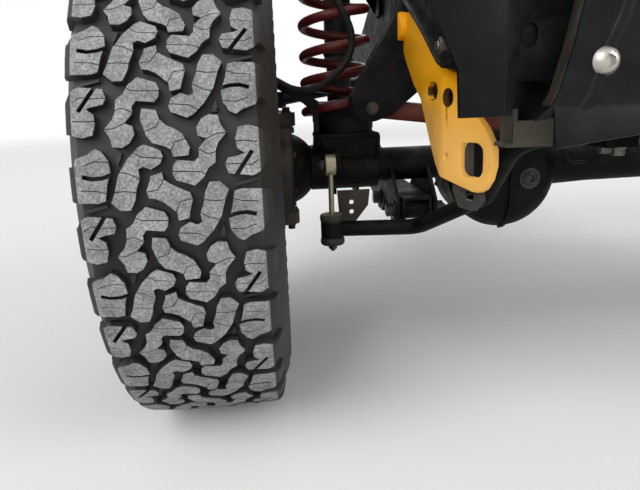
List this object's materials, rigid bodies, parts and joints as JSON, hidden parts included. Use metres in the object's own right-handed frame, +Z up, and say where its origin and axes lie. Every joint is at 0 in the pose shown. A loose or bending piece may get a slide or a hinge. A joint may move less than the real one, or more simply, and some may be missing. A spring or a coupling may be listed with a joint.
{
  "type": "front end of a lifted off-road 4x4",
  "caption": "Front axle, wheels, steering, coil suspension, frame front, bumper and tow hooks of a lifted off-road vehicle.",
  "frame": {"origin": "centre of the rear crossmember's rear face, flush with the ends of the frame rails", "axes": "+Y to the vehicle's rear, +Z up, +X to the vehicle's left; the axle lies ahead of and below the origin"},
  "size_m": [1.6172, 1.08, 0.7079],
  "materials": {
    "black_frame": "satin black paint with dust",
    "black_axle": "black axle paint with dust",
    "bumper_black": "textured black coating",
    "hook_yellow": "orange-yellow paint with rust marks",
    "eye_grey": "dark grey paint",
    "red_paint": "red paint, dusty",
    "blue_paint": "dark blue paint, dusty",
    "cast_iron": "cast, darkened",
    "zinc_steel": "zinc plated, dull",
    "shock_paint": "satin",
    "stop_rubber": "matte",
    "hose_rubber": "satin black hose, ribbed by its weave",
    "wheel_paint": "satin dark grey",
    "tyre_rubber": "matte rubber, dusty tread"
  },
  "bodies": {
    "root": {"axle_brackets": "black_axle", "axle_housing": "black_axle", "brake_hoses": "hose_rubber", "bump_stops": "stop_rubber", "bumper_centre": "bumper_black", "bumper_end_left": "bumper_black", "bumper_end_right": "bumper_black", "coil_spring_left": "red_paint", "coil_spring_right": "red_paint", "differential_carrier": "black_axle", "frame_brackets": "black_frame", "frame_rail_left": "black_frame", "frame_rail_right": "black_frame", "front_crossmember": "black_frame", "lateral_rod": "red_paint", "lateral_rod_bracket": "black_frame", "pinion_housing": "black_axle", "radius_arm_left": "black_axle", "radius_arm_right": "black_axle", "rear_crossmember": "black_frame", "shock_absorber_left": "shock_paint", "shock_absorber_right": "shock_paint", "spring_seat_left": "black_axle", "spring_seat_right": "black_axle", "spring_tower_left": "black_frame", "spring_tower_right": "black_frame", "stabiliser_bar": "black_axle", "stabiliser_link_left": "zinc_steel", "stabiliser_link_right": "zinc_steel", "stabiliser_mounts": "black_frame", "steering_box": "cast_iron", "tie_down_eyes": "eye_grey", "tow_hook_left": "hook_yellow", "tow_hook_right": "hook_yellow"},
    "knuckle_right": {"knuckle_right": "cast_iron"},
    "knuckle_left": {"knuckle_left": "cast_iron"},
    "wheel_right": {"hub_right": "cast_iron", "rim_right": "wheel_paint", "tyre_right": "tyre_rubber"},
    "wheel_left": {"hub_left": "cast_iron", "rim_left": "wheel_paint", "tyre_left": "tyre_rubber"},
    "tie_rod": {"tie_rod": "blue_paint"},
    "pitman_arm": {"pitman_arm": "cast_iron"},
    "drag_link": {"drag_link": "blue_paint"}
  },
  "joints": [
    {"name": "steer_right", "type": "hinge", "parent": "root", "child": "knuckle_right", "pos_m": [-0.5875, -0.64, -0.165], "axis": [0, 0, 1], "range_deg": [-30, 30]},
    {"name": "steer_left", "type": "hinge", "parent": "root", "child": "knuckle_left", "pos_m": [0.5875, -0.64, -0.165], "axis": [0, 0, 1], "range_deg": [-30, 30]},
    {"name": "wheel_spin_right", "type": "hinge", "parent": "knuckle_right", "child": "wheel_right", "pos_m": [-0.6975, -0.64, -0.165], "axis": [1, 0, 0], "continuous": true},
    {"name": "wheel_spin_left", "type": "hinge", "parent": "knuckle_left", "child": "wheel_left", "pos_m": [0.6975, -0.64, -0.165], "axis": [1, 0, 0], "continuous": true},
    {"name": "tie_rod_pivot", "type": "hinge", "parent": "knuckle_right", "child": "tie_rod", "pos_m": [-0.5875, -0.49, -0.192], "axis": [0, 0, 1], "range_deg": [-30, 30]},
    {"name": "pitman_pivot", "type": "hinge", "parent": "root", "child": "pitman_arm", "pos_m": [0.232, -0.64, 0.09], "axis": [0, 0, 1], "range_deg": [-30, 30]},
    {"name": "drag_link_pivot", "type": "hinge", "parent": "pitman_arm", "child": "drag_link", "pos_m": [0.232, -0.49, 0.065], "axis": [0, 0, 1], "range_deg": [-30, 30]}
  ],
  "couplings": [
    {"joint": "steer_left", "follows": "steer_right", "ratio": 1},
    {"joint": "tie_rod_pivot", "follows": "steer_right", "ratio": -1},
    {"joint": "pitman_pivot", "follows": "steer_right", "ratio": 1},
    {"joint": "drag_link_pivot", "follows": "steer_right", "ratio": -1}
  ]
}
